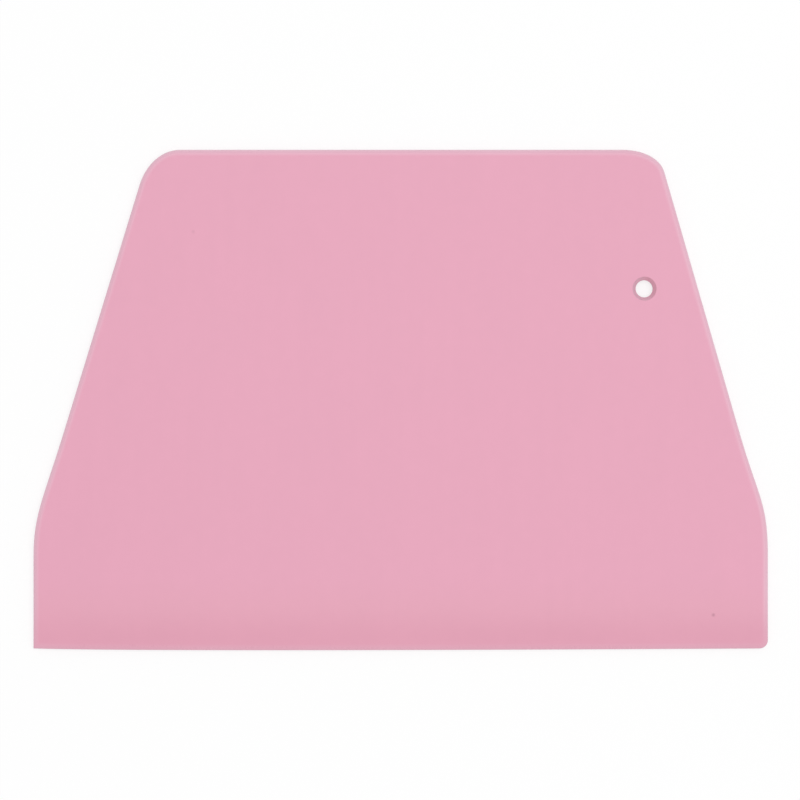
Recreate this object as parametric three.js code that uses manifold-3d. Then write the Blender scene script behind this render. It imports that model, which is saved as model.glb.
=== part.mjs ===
// A dough scraper: one flat plastic moulding that is held along its narrow top edge.
// Both faces of the plate thin down in a curve to the wide working edge at the bottom,
// and a rounded edge runs all the way round, thinning with the plate. A small hole with
// chamfered mouths near the right-hand side lets it hang on a hook.
// The working edge lies along X, the grip edge is towards +Y, and Z goes through the plate.

import * as THREE from "three";
import { mergeVertices } from "three/addons/utils/BufferGeometryUtils.js";
import Module from "manifold-3d";

// Driving dimensions, in millimetres

// Outline
const bladeWidth = 150; // across the two upright flanks
const scraperHeight = 101.85; // from the ends of the working edge up to the grip edge
const gripWidth = 103.7; // between the grip edge's two corners, before they are rounded
const gripShift = 0.7; // the grip edge's middle is this far to the right of the blade's
const gripLeftReach = 6; // the left grip corner is rounded from this far along the grip edge
const gripLeftDrop = 7.5; // to this far down the slanted side
const gripRightReach = 7.2; // the same for the right grip corner, which is tighter
const gripRightDrop = 4.7;
const gripFullness = 0.6; // how far both curves are pulled towards their corner, as a share
const flankHeight = 24; // where a slanted side would meet its upright flank in a sharp corner
const shoulderRise = 20.3; // the shoulder curve leaves the slanted side this far above that corner
const shoulderDrop = 5.1; // and meets the flank this far below it
const slantPull = 14.3; // how long the curve keeps to the slant, which flares it out a little
const leftFlankPull = 8.5; // and how long it keeps to the left flank
const rightFlankPull = 11; // or to the right one
const edgeCornerReach = 1.7; // lower right corner, along both sides; the lower left one is left sharp
const edgeCornerFullness = 0.55; // which makes it about a quarter of a circle
const edgeBelly = 0.35; // how far the working edge bows out below its two ends
const bellyOffset = -51; // the bow is pulled to the left, towards this place along the edge

// Section
const plateThickness = 2;
const edgeThickness = 0.8; // at the working edge
const taperLength = 9; // height of the band above the working edge in which the plate thins
const wedgeLength = 3; // the lowest part of that band, where both faces are straight
const edgeRound = 0.9; // radius of the rounded edge all the way round

// Hanging hole
const holeRadius = 1.75;
const holeChamfer = 0.7; // width of the chamfer round both mouths, at 45 degrees
const holeDrop = 28.4; // centre of the hole below the grip edge
const holeMargin = 10.6; // centre of the hole from the slanted right side, square to it

// Fineness of the curves
const bellySteps = 24;
const cornerSteps = 10;
const shoulderSteps = 16;
const roundSteps = 6;
const taperSteps = 8;
const holeSteps = 48;

// Worked out from these
const halfBlade = bladeWidth / 2;
const halfThickness = plateThickness / 2;
const round = Math.min(edgeRound, halfThickness);
const land = halfThickness - round; // half of the upright strip that is left along the parting line
const mouthChamfer = Math.min(holeChamfer, halfThickness);
const lowerLeft = new THREE.Vector2(-halfBlade, 0);
const lowerRight = new THREE.Vector2(halfBlade, 0);
const gripLeft = new THREE.Vector2(gripShift - gripWidth / 2, scraperHeight);
const gripRight = new THREE.Vector2(gripShift + gripWidth / 2, scraperHeight);
const bendLeft = new THREE.Vector2(-halfBlade, flankHeight);
const bendRight = new THREE.Vector2(halfBlade, flankHeight);

// Points of the curve that rounds a corner of the outline, going counter-clockwise, from its reach on
// the side before the corner to its reach on the side after
function roundedCorner(previous, corner, next, reachBefore, reachAfter, fullness) {
  const start = corner.clone().addScaledVector(previous.clone().sub(corner).normalize(), reachBefore);
  const end = corner.clone().addScaledVector(next.clone().sub(corner).normalize(), reachAfter);
  const startHandle = start.clone().lerp(corner, fullness);
  const endHandle = end.clone().lerp(corner, fullness);
  return new THREE.CubicBezierCurve(start, startHandle, endHandle, end).getPoints(cornerSteps);
}

// Points of the curve from an upright flank into its slanted side, going up
function shoulder(bend, gripCorner, flankPull) {
  const slant = gripCorner.clone().sub(bend).normalize();
  const up = new THREE.Vector2(0, 1);
  const low = bend.clone().addScaledVector(up, -shoulderDrop);
  const high = bend.clone().addScaledVector(slant, shoulderRise / slant.y);
  const lowHandle = low.clone().addScaledVector(up, flankPull);
  const highHandle = high.clone().addScaledVector(slant, -slantPull);
  return new THREE.CubicBezierCurve(low, lowHandle, highHandle, high).getPoints(shoulderSteps);
}

// The heights at which the tapered band is stepped, from the rounded lower corner up to the full plate
function taperHeights() {
  const heights = [];
  for (let step = 0; step <= taperSteps; step++) {
    heights.push(edgeCornerReach + ((taperLength - edgeCornerReach) * step) / taperSteps);
  }
  return heights;
}

// The outline in four runs, counter-clockwise from the lower left corner: the working edge, the right
// flank, all that lies above, and the left flank. The points of the two flanks are in step, so that
// the tapered band can span them.
function outlineRuns() {
  const cornerStart = new THREE.Vector2(halfBlade - edgeCornerReach, 0);
  const bellyHandle = new THREE.Vector2(bellyOffset, -2 * edgeBelly);
  const belly = new THREE.QuadraticBezierCurve(lowerLeft, bellyHandle, cornerStart).getPoints(bellySteps);
  const corner = roundedCorner(
    lowerLeft, lowerRight, bendRight, edgeCornerReach, edgeCornerReach, edgeCornerFullness);
  const heights = taperHeights();
  return {
    edge: [...belly, ...corner.slice(1, -1)],
    rightFlank: heights.map((y) => new THREE.Vector2(halfBlade, y)),
    upper: [
      ...shoulder(bendRight, gripRight, rightFlankPull),
      ...roundedCorner(bendRight, gripRight, gripLeft, gripRightDrop, gripRightReach, gripFullness),
      ...roundedCorner(gripRight, gripLeft, bendLeft, gripLeftReach, gripLeftDrop, gripFullness),
      ...shoulder(bendLeft, gripLeft, leftFlankPull).reverse(),
    ],
    leftFlank: heights.map((y) => new THREE.Vector2(-halfBlade, y)).reverse(),
  };
}

// For each point of a closed outline, the move that takes both of its sides in by one millimetre
function inwardMoves(points) {
  const inward = (from, to) => new THREE.Vector2(from.y - to.y, to.x - from.x).normalize();
  return points.map((point, i) => {
    const before = points[(i + points.length - 1) % points.length];
    const after = points[(i + 1) % points.length];
    const sum = inward(before, point).add(inward(point, after));
    return sum.multiplyScalar(2 / sum.lengthSq());
  });
}

// The rounded edge in section, from the back face round to the front: how far in, and how high.
// Where the rounds take up the whole thickness, they share one ring in the middle.
function edgeSection() {
  const section = [];
  for (let step = 0; step <= roundSteps; step++) {
    const turn = (Math.PI / 2) * (step / roundSteps);
    section.push({ inset: round * (1 - Math.cos(turn)), height: land + round * Math.sin(turn) });
  }
  const lower = section.slice(land > 0 ? 0 : 1);
  const back = lower.map(({ inset, height }) => ({ inset, height: -height })).reverse();
  return [...back, ...section];
}

// How thick the plate is at a height, as a share of its full thickness: a straight wedge at the
// working edge, which runs out into the flat faces along a parabola
function thicknessShare(y) {
  const blend = taperLength - wedgeLength;
  const slope = (1 - edgeThickness / plateThickness) / (wedgeLength + blend / 2);
  const intoBlend = THREE.MathUtils.clamp(taperLength - y, 0, blend);
  const intoWedge = THREE.MathUtils.clamp(wedgeLength - y, 0, wedgeLength);
  return 1 - slope * (intoBlend ** 2 / (2 * blend) + intoWedge);
}

// Triangles over one face, as numbers of outline points: the strip along the working edge, the rungs
// of the tapered band, and the flat part above it
function faceTriangles(outline, runs) {
  const rightStart = runs.edge.length;
  const upperStart = rightStart + runs.rightFlank.length;
  const leftStart = upperStart + runs.upper.length;
  const last = outline.length - 1;
  const numbers = (from, to) => Array.from({ length: to - from + 1 }, (_, i) => from + i);
  const fill = (corners) => {
    const triangles = THREE.ShapeUtils.triangulateShape(corners.map((i) => outline[i]), []);
    return triangles.map((triangle) => triangle.map((i) => corners[i]));
  };
  const triangles = [...fill([...numbers(0, rightStart), last]), ...fill(numbers(upperStart - 1, leftStart))];
  for (let step = 0; step < taperSteps; step++) {
    const right = rightStart + step;
    const left = last - step;
    triangles.push([right, right + 1, left - 1], [right, left - 1, left]);
  }
  return triangles;
}

// The plate as a skin stretched over rings: the outline moved in and up step by step round the
// rounded edge, every height shrunk with the plate's thickness there, and a face over each end
function plateGeometry() {
  const runs = outlineRuns();
  const outline = [...runs.edge, ...runs.rightFlank, ...runs.upper, ...runs.leftFlank];
  const moves = inwardMoves(outline);
  const section = edgeSection();
  const count = outline.length;
  const positions = [];
  for (const { inset, height } of section) {
    outline.forEach((point, i) => {
      const place = point.clone().addScaledVector(moves[i], inset);
      positions.push(place.x, place.y, height * thicknessShare(place.y));
    });
  }
  const index = [];
  for (let ring = 0; ring < section.length - 1; ring++) {
    for (let i = 0; i < count; i++) {
      const a = ring * count + i;
      const b = ring * count + ((i + 1) % count);
      index.push(a, b, b + count, a, b + count, a + count);
    }
  }
  const front = (section.length - 1) * count;
  for (const [a, b, c] of faceTriangles(outline, runs)) {
    index.push(front + a, front + b, front + c, c, b, a);
  }
  const geometry = new THREE.BufferGeometry();
  geometry.setAttribute("position", new THREE.Float32BufferAttribute(positions, 3));
  geometry.setIndex(index);
  return geometry;
}

// The hole's shape as a spool: straight in the middle, with a cone at 45 degrees to each face.
// It is a little longer than the plate is thick, so that its cones run out through both faces.
// Where the chamfers take up the whole thickness, the cones share one ring in the middle.
function holeGeometry() {
  const overshoot = 0.2;
  const neck = halfThickness - mouthChamfer;
  const reach = mouthChamfer + overshoot;
  const flare = [
    new THREE.Vector2(holeRadius, neck),
    new THREE.Vector2(holeRadius + reach, neck + reach),
    new THREE.Vector2(0, neck + reach),
  ];
  const lower = flare.slice(neck > 0 ? 0 : 1);
  const mirrored = lower.map((point) => new THREE.Vector2(point.x, -point.y)).reverse();
  const geometry = new THREE.LatheGeometry([...mirrored, ...flare], holeSteps);
  geometry.rotateX(Math.PI / 2);
  const slant = gripRight.clone().sub(bendRight).normalize();
  const side = gripRight.clone().addScaledVector(slant, -holeDrop / slant.y);
  geometry.translate(side.x - holeMargin / slant.y, side.y, 0);
  return geometry;
}

const wasm = await Module();
wasm.setup();

function toSolid(geometry) {
  const bare = geometry.clone();
  bare.deleteAttribute("normal");
  bare.deleteAttribute("uv");
  const merged = mergeVertices(bare);
  const vertProperties = new Float32Array(merged.attributes.position.array);
  const triVerts = new Uint32Array(merged.index.array);
  return new wasm.Manifold(new wasm.Mesh({ numProp: 3, vertProperties, triVerts }));
}

function toGeometry(solid) {
  const mesh = solid.getMesh();
  const geometry = new THREE.BufferGeometry();
  geometry.setAttribute("position", new THREE.BufferAttribute(mesh.vertProperties, 3));
  geometry.setIndex(new THREE.BufferAttribute(mesh.triVerts, 1));
  geometry.computeVertexNormals();
  return geometry;
}

// The finished plate, lying on its back with the middle of its outline over the origin
function scraperPlate() {
  const geometry = toGeometry(toSolid(plateGeometry()).subtract(toSolid(holeGeometry())));
  const pinkPlastic = new THREE.MeshStandardMaterial({ color: 0xe8aabf, roughness: 0.45, metalness: 0 });
  const plate = new THREE.Mesh(geometry, pinkPlastic);
  plate.name = "scraper_plate";
  geometry.computeBoundingBox();
  const middle = geometry.boundingBox.getCenter(new THREE.Vector3());
  plate.position.set(-middle.x, -middle.y, -geometry.boundingBox.min.z);
  return plate;
}

const doughScraper = new THREE.Group();
doughScraper.name = "dough_scraper";
doughScraper.add(scraperPlate());

export default doughScraper;
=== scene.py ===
# %% [markdown]
# A dough scraper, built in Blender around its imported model.
# The real scraper is one flat plate of pink plastic, moulded in one shot. It is held along its
# narrow top edge, thins to a wide working edge at the bottom, and has a small hole to hang it by.
# The lesson goes the way a photographer and a mould maker would: first the camera, the light and
# the table, then the plate from its outline to its finished surface, and last the plastic itself.

# %% The frame that everything is measured from
import math

import bmesh
import bpy
from mathutils import Matrix, Vector
from mathutils.geometry import interpolate_bezier


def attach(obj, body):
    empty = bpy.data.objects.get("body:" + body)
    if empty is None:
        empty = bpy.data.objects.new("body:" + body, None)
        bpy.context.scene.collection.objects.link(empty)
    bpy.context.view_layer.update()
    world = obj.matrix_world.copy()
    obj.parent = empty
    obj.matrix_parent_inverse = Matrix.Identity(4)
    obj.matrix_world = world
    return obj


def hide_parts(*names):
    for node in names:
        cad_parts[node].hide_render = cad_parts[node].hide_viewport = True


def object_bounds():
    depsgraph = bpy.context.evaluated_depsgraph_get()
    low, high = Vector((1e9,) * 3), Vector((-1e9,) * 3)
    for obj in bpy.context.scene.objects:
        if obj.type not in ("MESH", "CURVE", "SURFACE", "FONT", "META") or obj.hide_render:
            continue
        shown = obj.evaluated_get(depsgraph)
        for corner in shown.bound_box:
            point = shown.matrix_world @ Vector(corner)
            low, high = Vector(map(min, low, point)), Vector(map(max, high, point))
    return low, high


CM = 0.01
MM = 0.001
MICRON = 1e-6

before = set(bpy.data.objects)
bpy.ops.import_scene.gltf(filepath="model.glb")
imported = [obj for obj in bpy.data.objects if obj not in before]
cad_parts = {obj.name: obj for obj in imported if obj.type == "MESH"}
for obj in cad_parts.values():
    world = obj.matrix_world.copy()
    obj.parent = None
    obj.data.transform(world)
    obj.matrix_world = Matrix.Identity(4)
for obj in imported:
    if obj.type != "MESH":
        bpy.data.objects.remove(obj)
cad_low, cad_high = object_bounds()
cad_size = cad_high - cad_low
print("packed model, in millimetres:", [round(side / MM, 2) for side in cad_size])

# %% [markdown]
# The camera looks straight down on the plate, as in a catalogue picture.
# A wide lens close to the plate would show its edges leaning outwards. A long lens from half a metre
# up keeps the outline true, so the lens is worked out from that height and the width of the view.

# %% The camera
VIEW_WIDTH = 163.4 * MM
CAMERA_HEIGHT = 0.5
CAMERA_SHIFT = -0.14 * MM
camera_data = bpy.data.cameras.new("catalogue_camera")
camera_data.lens = camera_data.sensor_width * CAMERA_HEIGHT / VIEW_WIDTH
camera = bpy.data.objects.new("catalogue_camera", camera_data)
camera.location = (CAMERA_SHIFT, 0, CAMERA_HEIGHT + cad_size.z / 2)
bpy.context.scene.collection.objects.link(camera)
bpy.context.scene.camera = camera
bpy.context.scene.view_settings.view_transform = "Standard"
print("lens, in millimetres:", round(camera_data.lens))

# %% [markdown]
# Materials in Blender are graphs of nodes, and a graph written as code is hard to read when every
# sum takes three lines. One small class mends that: it wraps an output socket, so that a plain
# Python sum on it adds the Math nodes, and one method adds any other node.

# %% Node sums written as Python sums
class Signal:
    """An output socket of a node tree. Sums on it add Math nodes, and node() adds any other node."""

    def __init__(self, tree, socket=None):
        self.tree = tree
        self.socket = socket

    def node(self, kind, settings=None, inputs=None, output=0):
        """Adds a node with its settings first and then its sockets' values or links."""
        made = self.tree.nodes.new(kind)
        for name, value in (settings or {}).items():
            setattr(made, name, value)
        for name, value in (inputs or {}).items():
            if isinstance(value, Signal):
                self.tree.links.new(value.socket, made.inputs[name])
            else:
                made.inputs[name].default_value = value
        return Signal(self.tree, made.outputs[output] if made.outputs else None)

    def math(self, operation, *values):
        return self.node("ShaderNodeMath", {"operation": operation}, dict(enumerate(values)))

    def __add__(self, other):
        return self.math("ADD", self, other)

    def __sub__(self, other):
        return self.math("SUBTRACT", self, other)

    def __rsub__(self, other):
        return self.math("SUBTRACT", other, self)

    def __mul__(self, other):
        return self.math("MULTIPLY", self, other)

    def __truediv__(self, other):
        return self.math("DIVIDE", self, other)

    __radd__ = __add__
    __rmul__ = __mul__


def empty_graph(owner):
    """The node tree of a material or a world, cleared, as a Signal to start from."""
    owner.use_nodes = True
    owner.node_tree.nodes.clear()
    return Signal(owner.node_tree)


def seen_directly(graph):
    """1 for rays from the camera or off a gloss, 0 for the soft light that falls on things."""
    paths = [graph.node("ShaderNodeLightPath", output=name)
             for name in ("Is Camera Ray", "Is Glossy Ray", "Is Transmission Ray")]
    return paths[0].math("MAXIMUM", paths[0].math("MAXIMUM", paths[0], paths[1]), paths[2])


print("node helper ready")

# %% [markdown]
# The room is a white studio. What the camera sees of it, directly or mirrored in a gloss, is plain
# white, and what lights the plate is a dimmer, even glow. Keeping the two apart lets the background
# be white without flooding the object with light.

# %% The studio's soft glow
GLOW = 0.66
WHITE = (1, 1, 1, 1)
world = bpy.data.worlds.new("white_studio")
bpy.context.scene.world = world
graph = empty_graph(world)
glow = graph.node("ShaderNodeBackground", inputs={"Color": WHITE, "Strength": GLOW})
backdrop = graph.node("ShaderNodeBackground", inputs={"Color": WHITE, "Strength": 1})
sky = graph.node("ShaderNodeMixShader", inputs={0: seen_directly(graph), 1: glow, 2: backdrop})
graph.node("ShaderNodeOutputWorld", inputs={"Surface": sky})
print("glow on the plate:", GLOW)

# %% [markdown]
# One large softbox hangs almost overhead. It leans a little to the right and the back, so the rims on
# those sides catch more light than the others. Its size matters as much: the flat face mirrors it
# faintly, as satin does, and its front edge ends where the sloping blade no longer mirrors it. That is
# why the blade looks a shade deeper than the face.
# A lamp of P watts that faces the plate from r metres lights it with P cos(a) / (pi r r), and a white
# sky of strength 1 lights it with pi. The power is set for a chosen share of such a sky's light.

# %% The softbox
KEY_SHARE = 0.43
KEY_DISTANCE = 1.6
KEY_WIDTH = 1.8
KEY_DEPTH = 1.1
KEY_LEAN = Vector((0.18, 0.10, 1.0))
key_way = KEY_LEAN.normalized()
softbox = bpy.data.lights.new("softbox", "AREA")
softbox.shape = "RECTANGLE"
softbox.size = KEY_WIDTH
softbox.size_y = KEY_DEPTH
softbox.energy = KEY_SHARE * (math.pi * KEY_DISTANCE) ** 2 / key_way.z
softbox_stand = bpy.data.objects.new("softbox", softbox)
softbox_stand.location = key_way * KEY_DISTANCE
softbox_stand.rotation_euler = Vector((0, 0, 1)).rotation_difference(key_way).to_euler()
softbox_stand.visible_camera = False
bpy.context.scene.collection.objects.link(softbox_stand)
print("softbox power, in watts:", round(softbox.energy, 1))

# %% [markdown]
# The table is one white sheet under the plate. Most of what the camera sees of it glows plain white,
# as a lit table does, and the rest is matt paint that still takes the plate's soft shadow. It lies a
# hair below the plate, because two surfaces in one place make flecks.

# %% The white table
TABLE_HALF = 3.0
TABLE_GLOW = 0.7
TABLE_GAP = 0.02 * MM
PAINT_WHITE = (0.99, 0.99, 0.99, 1)
table_mesh = bmesh.new()
bmesh.ops.create_grid(table_mesh, x_segments=1, y_segments=1, size=TABLE_HALF)
table_data = bpy.data.meshes.new("white_table")
table_mesh.to_mesh(table_data)
table_mesh.free()
table = bpy.data.objects.new("white_table", table_data)
table.location.z = -TABLE_GAP
bpy.context.scene.collection.objects.link(table)

paint = bpy.data.materials.new("white_table_paint")
graph = empty_graph(paint)
matt = graph.node("ShaderNodeBsdfDiffuse", inputs={"Color": PAINT_WHITE})
lit = graph.node("ShaderNodeEmission", inputs={"Color": WHITE, "Strength": 1})
share = seen_directly(graph) * TABLE_GLOW
surface = graph.node("ShaderNodeMixShader", inputs={0: share, 1: matt, 2: lit})
graph.node("ShaderNodeOutputMaterial", inputs={"Surface": surface})
table_data.materials.append(paint)
print("table, in metres across:", 2 * TABLE_HALF)

# %% [markdown]
# The plate starts as its outline. The real one is cut into the mould as a few straight lines and
# curves: an almost straight working edge that bows out a little, two upright flanks, a soft shoulder
# into each slanted side, and a grip edge with rounded corners. Six corner points settle the straight
# lines, and the curves are fitted in between them afterwards.
# Where the two halves of the mould meet, a hair-thin ridge stands out all round. The outline is drawn
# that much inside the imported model, so that the ridge ends where the model does.

# %% Sizes of the outline
PARTING_RIDGE = 0.03 * MM
EDGE_BELLY = 0.35 * MM
BELLY_PLACE = -51 * MM
GRIP_WIDTH = 103.7 * MM
GRIP_SHIFT = 0.7 * MM
FLANK_HEIGHT = 24 * MM
UP = Vector((0, 1, 0))

half_blade = cad_high.x - PARTING_RIDGE
half_grip = GRIP_WIDTH / 2 - PARTING_RIDGE
grip_y = cad_high.y - PARTING_RIDGE
edge_y = cad_low.y + EDGE_BELLY + PARTING_RIDGE
lower_left = Vector((-half_blade, edge_y, 0))
lower_right = Vector((half_blade, edge_y, 0))
grip_left = Vector((GRIP_SHIFT - half_grip, grip_y, 0))
grip_right = Vector((GRIP_SHIFT + half_grip, grip_y, 0))
bend_left = lower_left + UP * FLANK_HEIGHT
bend_right = lower_right + UP * FLANK_HEIGHT
print("working edge to grip edge, in millimetres:", round((grip_y - edge_y) / MM, 2))

# %% [markdown]
# The shoulders lead the upright flanks into the slanted sides, so that a hand can slide along without
# meeting a corner. An arc would turn evenly, but these leave the flank in a short bend and ease out
# long into the slant. A Bezier curve has a handle at each end for that, and Blender's own function
# turns it into points. The right shoulder is a little tighter than the left one.

# %% Shoulders
SHOULDER_RISE = 20.3 * MM
SHOULDER_DROP = 5.1 * MM
SLANT_PULL = 14.3 * MM
LEFT_FLANK_PULL = 8.5 * MM
RIGHT_FLANK_PULL = 11 * MM
SHOULDER_POINTS = 24


def shoulder(bend, grip_corner, flank_pull):
    """The curve from an upright flank into its slanted side, going up."""
    slant = (grip_corner - bend).normalized()
    low = bend - UP * SHOULDER_DROP
    high = bend + slant * (SHOULDER_RISE / slant.y)
    return interpolate_bezier(
        low, low + UP * flank_pull, high - slant * SLANT_PULL, high, SHOULDER_POINTS)


left_shoulder = shoulder(bend_left, grip_left, LEFT_FLANK_PULL)
right_shoulder = shoulder(bend_right, grip_right, RIGHT_FLANK_PULL)
print("points in each shoulder:", len(left_shoulder))

# %% [markdown]
# A bevel could round the corners, but it cuts both sides of a corner alike, and the grip corners
# reach further along one side than along the other. So each round is a Bezier curve too: it starts on
# one side and ends on the other, and both its handles point at the corner that it cuts off. Of the two
# lower corners only the right one is rounded. The left one is sharp.

# %% Rounded corners
GRIP_LEFT_REACH = 6 * MM
GRIP_LEFT_DROP = 7.5 * MM
GRIP_RIGHT_REACH = 7.2 * MM
GRIP_RIGHT_DROP = 4.7 * MM
GRIP_FULLNESS = 0.6
EDGE_CORNER_REACH = 1.7 * MM
EDGE_CORNER_FULLNESS = 0.55
CORNER_POINTS = 15


def rounded(before, corner, after, reach_before, reach_after, fullness):
    """The curve that cuts off a corner, from one reach on the side before it to one on the side after."""
    start = corner + (before - corner).normalized() * reach_before
    end = corner + (after - corner).normalized() * reach_after
    return interpolate_bezier(
        start, start.lerp(corner, fullness), end.lerp(corner, fullness), end, CORNER_POINTS)


grip_right_curve = rounded(
    bend_right, grip_right, grip_left, GRIP_RIGHT_DROP, GRIP_RIGHT_REACH, GRIP_FULLNESS)
grip_left_curve = rounded(
    grip_right, grip_left, bend_left, GRIP_LEFT_REACH, GRIP_LEFT_DROP, GRIP_FULLNESS)
edge_corner = rounded(
    lower_left, lower_right, bend_right, EDGE_CORNER_REACH, EDGE_CORNER_REACH, EDGE_CORNER_FULLNESS)
print("points in each corner:", len(edge_corner))

# %% [markdown]
# The working edge bows out by a third of a millimetre, most of it left of the middle. With that the
# stretches are complete. They are laid end to end, and their points make one flat face.

# %% The whole outline
BELLY_POINTS = 25


def working_edge(start, end):
    """The bowed edge from left to right: a parabola, whose handles lie two thirds of the way."""
    pull = Vector((BELLY_PLACE, edge_y - 2 * EDGE_BELLY, 0))
    return interpolate_bezier(start, start.lerp(pull, 2 / 3), end.lerp(pull, 2 / 3), end, BELLY_POINTS)


outline = [
    *working_edge(lower_left, edge_corner[0]),
    *edge_corner[1:],
    *right_shoulder,
    *grip_right_curve,
    *grip_left_curve,
    *reversed(left_shoulder),
]
plate = bmesh.new()
plate.faces.new([plate.verts.new(point) for point in outline])
print("outline points:", len(outline))

# %% [markdown]
# Pulling the flat face up gives the plate its thickness. Its sharp rims are then rounded by an edge
# bevel with enough segments to catch a smooth glint. That comes before anything is cut into the two
# faces, because the bevel slides along every edge that it meets, and a whole face has none.
# An inset just inside each rim keeps the round's shading off the big flat face.
# The rims of a scraper are what wears: they rub pale in the hand and in the drawer. They are also
# painted paler as a highlight, for the light that the rounded rims catch. The points carry that as a
# number of their own, 1 at the very edge and 0 on the flat face, for the plastic to read.

# %% Thickness and rounded rims
EDGE_ROUND = 0.9 * MM
ROUND_SEGMENTS = 12
SHADE_GUARD = 0.55 * MM
FLAT_NORMAL = 0.999999
thickness = cad_size.z
middle = thickness / 2

pulled = bmesh.ops.extrude_face_region(plate, geom=plate.faces[:])["geom"]
front_verts = [item for item in pulled if isinstance(item, bmesh.types.BMVert)]
bmesh.ops.translate(plate, verts=front_verts, vec=(0, 0, thickness))
bmesh.ops.recalc_face_normals(plate, faces=plate.faces)
rims = [edge for edge in plate.edges if edge.verts[0].co.z == edge.verts[1].co.z]
bmesh.ops.bevel(plate, geom=rims, offset=EDGE_ROUND, offset_type="OFFSET", affect="EDGES",
                segments=ROUND_SEGMENTS, profile=0.5, clamp_overlap=False, material=-1)
# The rim number drives both real wear and a painted highlight: the rims are painted paler where it is
# high.
edge_wear_and_highlight = plate.verts.layers.float.new("edge_wear_and_highlight")
for vert in plate.verts:
    rise = abs(vert.co.z - middle) - (middle - EDGE_ROUND)
    inward = EDGE_ROUND - math.sqrt(max(EDGE_ROUND ** 2 - rise ** 2, 0))
    vert[edge_wear_and_highlight] = 1 - inward / (EDGE_ROUND + SHADE_GUARD)
faces = [face for face in plate.faces if abs(face.normal.z) > FLAT_NORMAL]
bmesh.ops.inset_region(plate, faces=faces, thickness=SHADE_GUARD, use_even_offset=True)
for vert in {vert for face in faces for vert in face.verts}:
    vert[edge_wear_and_highlight] = 0
print("rims rounded:", len(rims), "edges; flat faces:", len(faces))

# %% [markdown]
# A cut at half the thickness gives a loop of points to pull out into the parting ridge.

# %% The parting ridge
CUT_REACH = 0.02 * MM


def cut(mesh, place, across):
    """Cuts the whole mesh along a plane, through points that are near it, and gives the points on it."""
    everything = mesh.verts[:] + mesh.edges[:] + mesh.faces[:]
    made = bmesh.ops.bisect_plane(mesh, geom=everything, dist=CUT_REACH, plane_co=place, plane_no=across)
    return [item for item in made["geom_cut"] if isinstance(item, bmesh.types.BMVert)]


ridge = cut(plate, (0, 0, middle), (0, 0, 1))
plate.normal_update()
for vert in ridge:
    vert.co += vert.normal * PARTING_RIDGE
print("parting ridge points:", len(ridge))

# %% [markdown]
# The hole needs a cell of its own in each face, and the taper needs rungs to bend along. Both are
# cuts right through the plate. The cuts form a grid laid out from the middle of the hole, so that the
# hole lies in the middle of a cell and the big faces become neat squares. The hole's two distances are
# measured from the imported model's sides, which lie outside the drawn outline by the parting ridge.

# %% Grid cuts
CELL = 8 * MM
CLEAR_OF_RIM = 3 * MM
TAPER_LENGTH = 9 * MM
TAPER_RUNGS = 12
HOLE_DROP = 28.4 * MM
HOLE_MARGIN = 10.6 * MM

slant = (grip_right - bend_right).normalized()
beside_hole = grip_right - slant * ((HOLE_DROP - PARTING_RIDGE) / slant.y)
hole = Vector((beside_hole.x - (HOLE_MARGIN - PARTING_RIDGE) / slant.y, beside_hole.y, 0))


def grid_lines(centre, low, high):
    """Lines one cell apart, half a cell off centre, that keep clear of the rims."""
    first = math.ceil((low + CLEAR_OF_RIM - centre) / CELL - 0.5)
    last = math.floor((high - CLEAR_OF_RIM - centre) / CELL - 0.5)
    return [centre + (step + 0.5) * CELL for step in range(first, last + 1)]


columns = grid_lines(hole.x, -half_blade, half_blade)
rows = grid_lines(hole.y, edge_y + TAPER_LENGTH, grip_y)
rungs = [edge_y + TAPER_LENGTH * (step + 1) / TAPER_RUNGS for step in range(TAPER_RUNGS)]
for x in columns:
    cut(plate, (x, 0, 0), (1, 0, 0))
for y in rows + rungs:
    cut(plate, (0, y, 0), (0, 1, 0))
print("columns:", len(columns), "rows:", len(rows), "rungs:", len(rungs))

# %% [markdown]
# The hanging hole goes straight through, and both its mouths are chamfered, so that a hook finds its
# way in. A boolean cut would do it, but it leaves ragged faces. Here the hole's cell is taken out of
# both faces, and a circle is bridged to each cell's four sides. The sides get as many points as the
# circle first, and the cells next to them are split into fans, so that no face keeps a row of points
# along one side. The circle starts half-way down and is lifted to the face afterwards, because the
# bridge needs a step between two loops to tell which way round they run. The circles are pulled in to
# the size of the hole and bridged to form the wall, and an edge bevel of one segment cuts the chamfers.
# Their borders are marked sharp, so the shading breaks there as it does on a real chamfer.

# %% The hanging hole
HOLE_RADIUS = 1.75 * MM
HOLE_CHAMFER = 0.7 * MM
HOLE_SEGMENTS = 64
COLLAR_WIDTH = 0.6 * MM
NEAR_AXIS = 0.1 * MM
mouth_radius = HOLE_RADIUS + HOLE_CHAMFER
collar_radius = mouth_radius + COLLAR_WIDTH


def open_edges(mesh, level):
    """The edges at a height that have a face on one side only, such as those round an opening."""
    return [edge for edge in mesh.edges if edge.is_boundary and edge.verts[0].co.z == level]


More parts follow.
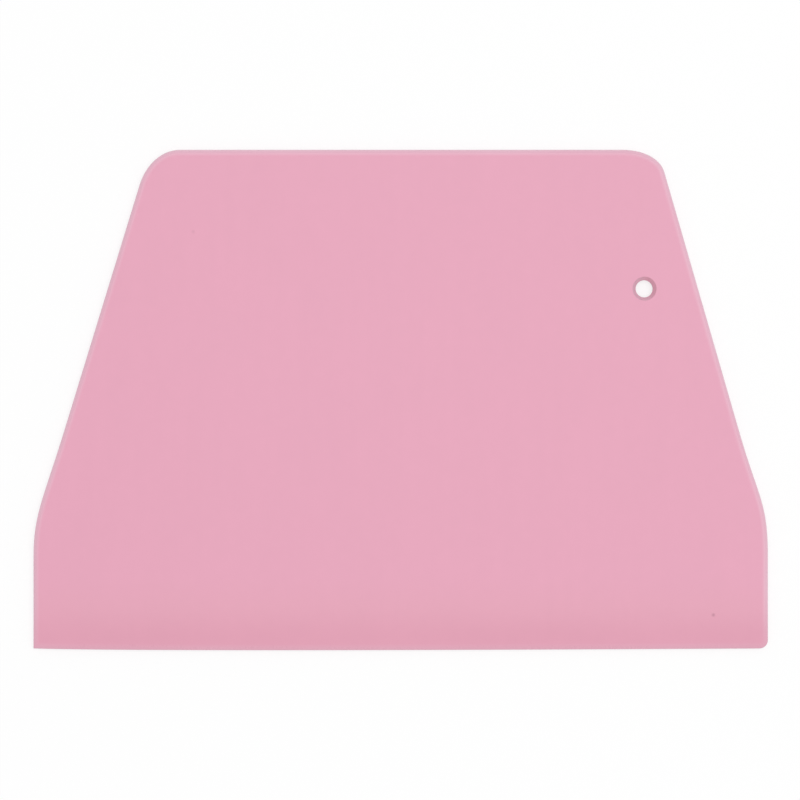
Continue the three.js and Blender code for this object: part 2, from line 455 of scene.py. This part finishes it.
cells = [face for face in plate.faces if (face.calc_center_median().xy - hole.xy).length < NEAR_AXIS]
levels = [face.verts[0].co.z for face in cells]
bmesh.ops.delete(plate, geom=cells, context="FACES_ONLY")
for level in levels:
    bmesh.ops.subdivide_edges(
        plate, edges=open_edges(plate, level), cuts=HOLE_SEGMENTS // 4 - 1, use_single_edge=True)
    window = open_edges(plate, level)
    hole_axis = Matrix.Translation((hole.x, hole.y, middle))
    collar = bmesh.ops.create_circle(
        plate, segments=HOLE_SEGMENTS, radius=collar_radius, matrix=hole_axis)["verts"]
    collar_edges = [edge for edge in plate.edges if edge.is_wire]
    bmesh.ops.bridge_loops(plate, edges=window + collar_edges)
    bmesh.ops.translate(plate, verts=collar, vec=(0, 0, level - middle))
    pulled = bmesh.ops.extrude_edge_only(plate, edges=collar_edges)["geom"]
    mouth = [item for item in pulled if isinstance(item, bmesh.types.BMVert)]
    shrink = HOLE_RADIUS / collar_radius
    bmesh.ops.scale(plate, verts=mouth, vec=(shrink, shrink, 1), space=hole_axis.inverted())
mouths = [edge for level in levels for edge in open_edges(plate, level)]
bmesh.ops.bridge_loops(plate, edges=mouths)
bmesh.ops.recalc_face_normals(plate, faces=plate.faces)
chamfers = bmesh.ops.bevel(plate, geom=mouths, offset=HOLE_CHAMFER, offset_type="OFFSET", affect="EDGES",
                           segments=1, profile=0.5, clamp_overlap=False, material=-1)["faces"]
for edge in {edge for face in chamfers for edge in face.edges}:
    edge.smooth = all(face in chamfers for face in edge.link_faces)
print("hole at, in millimetres:", [round(value / MM, 2) for value in hole.xy])

# %% [markdown]
# The working edge is thinner than the plate. Both faces run together in a straight wedge at the very
# edge and curve out into the flat plate above it. All points are in place by now, so it is enough to
# shrink every height towards the middle of the plate by the share that the thickness has there.

# %% The taper to the working edge
EDGE_THICKNESS = 0.8 * MM
WEDGE_LENGTH = 3 * MM


def thickness_share(height):
    """How thick the plate is at a height above the working edge, as a share of its full thickness."""
    blend = TAPER_LENGTH - WEDGE_LENGTH
    slope = (1 - EDGE_THICKNESS / thickness) / (WEDGE_LENGTH + blend / 2)
    into_blend = min(max(TAPER_LENGTH - height, 0), blend)
    into_wedge = min(max(WEDGE_LENGTH - height, 0), WEDGE_LENGTH)
    return 1 - slope * (into_blend ** 2 / (2 * blend) + into_wedge)


for vert in plate.verts:
    vert.co.z = middle + (vert.co.z - middle) * thickness_share(vert.co.y - edge_y)
print("thickness at the working edge, in millimetres:", round(thickness * thickness_share(0) / MM, 2))

# %% [markdown]
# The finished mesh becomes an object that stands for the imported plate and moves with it. Every edge
# must have a face on both sides, or the mesh isn't a solid.

# %% The finished plate
WELD_REACH = 1e-4 * MM

bmesh.ops.remove_doubles(plate, verts=plate.verts, dist=WELD_REACH)
bmesh.ops.recalc_face_normals(plate, faces=plate.faces)
for face in plate.faces:
    face.smooth = True
loose = [edge for edge in plate.edges if not edge.is_manifold]
print("faces:", len(plate.faces), "open edges:", len(loose))
print("volume, in cubic centimetres:", round(plate.calc_volume() / CM ** 3, 3))
plate_data = bpy.data.meshes.new("scraper_moulding")
plate.to_mesh(plate_data)
plate.free()
moulding = bpy.data.objects.new("scraper_moulding", plate_data)
bpy.context.scene.collection.objects.link(moulding)
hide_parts("scraper_plate")
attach(moulding, "root")

# %% [markdown]
# The plastic is a pale pink polypropylene, coloured in the melt. One flat colour would look like
# paint on a screen: pigment never mixes quite evenly, and the melt leaves faint streaks along the way
# that it ran, from the grip edge to the working edge. Three layers of noise, in real sizes, move the
# colour a touch between a lighter and a deeper pink. They read the plate's own coordinates, so the
# pattern stays on the plate in every view.

# %% Pigment in the melt
PINK = Vector((0.745, 0.330, 0.452))
PIGMENT_SPREAD = 0.04
CLOUD = 14 * MM
MOTTLE = 2.5 * MM
STREAK_WIDTH = 3 * MM
STREAK_LENGTH = 45 * MM
CLOUD_SHARE = 0.9
MOTTLE_SHARE = 0.6
STREAK_SHARE = 0.5

pink_plastic = bpy.data.materials.new("pink_plastic")
graph = empty_graph(pink_plastic)
spot = graph.node("ShaderNodeTexCoord", output="Object")


def noise(size, where=spot):
    """Smooth noise about 0 that rises and falls over the given size."""
    return graph.node("ShaderNodeTexNoise", inputs={"Vector": where, "Scale": 1 / size}) - 0.5


def mixed(factor, first, second, blend="MIX"):
    """The first colour where the factor is 0, blended with the second where it is 1."""
    return graph.node("ShaderNodeMix", {"data_type": "RGBA", "blend_type": blend},
                      {0: factor, 6: first, 7: second}, output=2)


def fade(value, start, end):
    """0 up to the start, 1 from the end on, and a soft step between. The end may be the lower one."""
    return graph.node("ShaderNodeMapRange", {"interpolation_type": "SMOOTHSTEP"},
                      {"Value": value, "From Min": start, "From Max": end})


along_flow = graph.node("ShaderNodeMapping", inputs={
    "Vector": spot, "Scale": (1, STREAK_WIDTH / STREAK_LENGTH, 1)})
streak = noise(STREAK_WIDTH, along_flow)
pigment = 0.5 + noise(CLOUD) * CLOUD_SHARE + noise(MOTTLE) * MOTTLE_SHARE + streak * STREAK_SHARE
deep_pink = (*PINK * (1 - PIGMENT_SPREAD / 2), 1)
light_pink = (*PINK * (1 + PIGMENT_SPREAD / 2), 1)
colour = mixed(pigment, deep_pink, light_pink)
print("deep pink:", [round(value, 3) for value in deep_pink])
print("light pink:", [round(value, 3) for value in light_pink])

# %% [markdown]
# The rims are painted pale, partly as wear and partly as a painted highlight for the light that the
# rounded rims catch. It is not even: noise as long as a fingertip makes it come and go, and along the
# working edge there is less of it. Towards the working edge the whole pink is also painted a shade
# deeper, with a little of the blue taken out: painted shade, added to the blade's shade from the softbox.

# %% Worn and painted-pale rims, and painted shade at the working edge
# A paler, greyer pink for the rims: partly wear, partly a painted highlight for the light the rims catch.
WORN_AND_HIGHLIT_PINK = (0.775, 0.465, 0.568, 1)
FINGERTIP = 15 * MM
FULL_WEAR_AND_HIGHLIGHT = 0.8
WEAR_AND_HIGHLIGHT_LEVEL = 0.95
WEAR_AND_HIGHLIGHT_SPREAD = 0.6
LESS_PALE_BAND = 12 * MM
LESS_PALE_SHARE = 0.6
# Painted shade: a tint that makes the pink a shade deeper and less blue towards the working edge.
BLADE_SHADE_TINT = (0.985, 0.990, 0.965, 1)
BLADE_SHADE_TOP = 16 * MM
BLADE_SHADE_FULL = 7 * MM

up_the_plate = graph.node("ShaderNodeSeparateXYZ", inputs={"Vector": spot}, output="Y") - edge_y
# Painted shade towards the working edge, multiplied into the pink.
blade_shade = fade(up_the_plate, BLADE_SHADE_TOP, BLADE_SHADE_FULL)
colour = mixed(blade_shade, colour, BLADE_SHADE_TINT, "MULTIPLY")
at_the_rim = graph.node("ShaderNodeAttribute", {"attribute_name": "edge_wear_and_highlight"}, output="Fac")
wear_and_highlight = fade(at_the_rim, 0, FULL_WEAR_AND_HIGHLIGHT)
near_working_edge = fade(up_the_plate, LESS_PALE_BAND, 0)
# The rims painted paler, partly wear and partly painted highlight, with less of it near the working edge.
rim_wear_and_highlight = wear_and_highlight * (WEAR_AND_HIGHLIGHT_LEVEL + noise(FINGERTIP) * WEAR_AND_HIGHLIGHT_SPREAD) * (1 - near_working_edge * LESS_PALE_SHARE)
colour = mixed(rim_wear_and_highlight, colour, WORN_AND_HIGHLIT_PINK)
print("rims worn pale, painted blade shade up to, in millimetres:", round(BLADE_SHADE_TOP / MM))

# %% [markdown]
# The mouth of the hole, its chamfer and its wall, is painted a paler, greyer pink as painted light, for
# the light that the chamfer catches. The side of the mouth that lies away from the middle of the plate is
# painted darker, as painted shade. Two specks of burnt plastic are caught in the skin, as they often are
# in a moulding, and the deeper one shows less. All of this is found by how far, and which way, a point
# lies from the hole or the speck.

# %% The hole's mouth and the specks
# Painted light and shade in the hole's mouth: a paler, greyer pink, and a darker one on the far side.
CHAMFER_LIT_PINK = (0.690, 0.395, 0.485, 1)
CHAMFER_SHADE_PINK = (0.675, 0.330, 0.420, 1)
SPECK_BROWN = (0.53, 0.22, 0.30, 1)
CHAMFER_PAINT_BORDER = 0.05 * MM
SHADE_SIDE_START = -0.3
SHADE_SIDE_FULL = 0.7
SPECK_RADIUS = 0.56 * MM
SPECKS = {(63.74 * MM, -43.82 * MM): 1, (-42.28 * MM, 34.30 * MM): 0.35}


def vectors(operation, first, second, output=0):
    """A Vector Math node. A distance or a dot product comes out of its Value."""
    return graph.node("ShaderNodeVectorMath", {"operation": operation}, {0: first, 1: second}, output)


flat_spot = vectors("MULTIPLY", spot, (1, 1, 0))
from_axis = vectors("DISTANCE", flat_spot, hole, "Value")
# Where the hole's mouth is painted, inside the chamfer's outer edge.
painted_mouth = fade(from_axis, mouth_radius + CHAMFER_PAINT_BORDER, mouth_radius - CHAMFER_PAINT_BORDER)
shade_side_way = hole.normalized()
toward_shade_side = vectors("DOT_PRODUCT", vectors("SUBTRACT", flat_spot, hole), shade_side_way, "Value") / mouth_radius
# Painted shade: the mouth grows darker towards the side away from the middle of the plate.
mouth_light_and_shade = mixed(fade(toward_shade_side, SHADE_SIDE_START, SHADE_SIDE_FULL), CHAMFER_LIT_PINK, CHAMFER_SHADE_PINK)
colour = mixed(painted_mouth, colour, mouth_light_and_shade)
for (x, y), strength in SPECKS.items():
    face_height = middle * (1 + thickness_share(y - edge_y))
    from_speck = vectors("DISTANCE", spot, (x, y, face_height), "Value")
    colour = mixed(fade(from_speck, SPECK_RADIUS, 0) * strength, colour, SPECK_BROWN)
print("hole mouth, in millimetres:", round(2 * mouth_radius / MM, 2), "specks:", len(SPECKS))

# %% [markdown]
# The skin is satin: the steel of the mould was blasted with fine beads, and the plastic shrank a little
# as it set, which left a soft waviness like orange peel. Both are far too small to model, so they are
# bump, with heights in real micrometres. Where the rims are rubbed the blasted grain is polished
# away, and the working edge is scuffed along the way that it scrapes.

# %% Satin skin
SATIN = 0.32
POLYPROPYLENE_IOR = 1.49
GRAIN = 0.35 * MM
PEEL = 4 * MM
GRAIN_HEIGHT = 0.4 * MICRON
PEEL_HEIGHT = 3 * MICRON
SCUFF_WIDTH = 0.4 * MM
SCUFF_LENGTH = 6 * MM
SCUFF_REACH = 7 * MM
GRAIN_ROUGHNESS = 0.06
CLOUD_ROUGHNESS = 0.06
SCUFF_ROUGHNESS = 0.15
POLISH = 0.05
GRAIN_RUBBED_OFF = 0.6

grain = noise(GRAIN)
across_blade = graph.node("ShaderNodeMapping", inputs={
    "Vector": spot, "Scale": (1, SCUFF_WIDTH / SCUFF_LENGTH, 1)})
scuffed = fade(up_the_plate, SCUFF_REACH, 0) * (1 - wear_and_highlight) * noise(SCUFF_WIDTH, across_blade)
uneven = grain * GRAIN_ROUGHNESS + noise(CLOUD) * CLOUD_ROUGHNESS + scuffed * SCUFF_ROUGHNESS
roughness = SATIN + uneven - wear_and_highlight * POLISH
height = grain * (1 - wear_and_highlight * GRAIN_RUBBED_OFF) * GRAIN_HEIGHT + noise(PEEL) * PEEL_HEIGHT
relief = graph.node("ShaderNodeBump", inputs={"Height": height, "Distance": 1})
skin = graph.node("ShaderNodeBsdfPrincipled", inputs={
    "Base Color": colour, "Roughness": roughness, "IOR": POLYPROPYLENE_IOR, "Normal": relief})
graph.node("ShaderNodeOutputMaterial", inputs={"Surface": skin})
plate_data.materials.append(pink_plastic)
print("nodes in the pink plastic:", len(pink_plastic.node_tree.nodes))
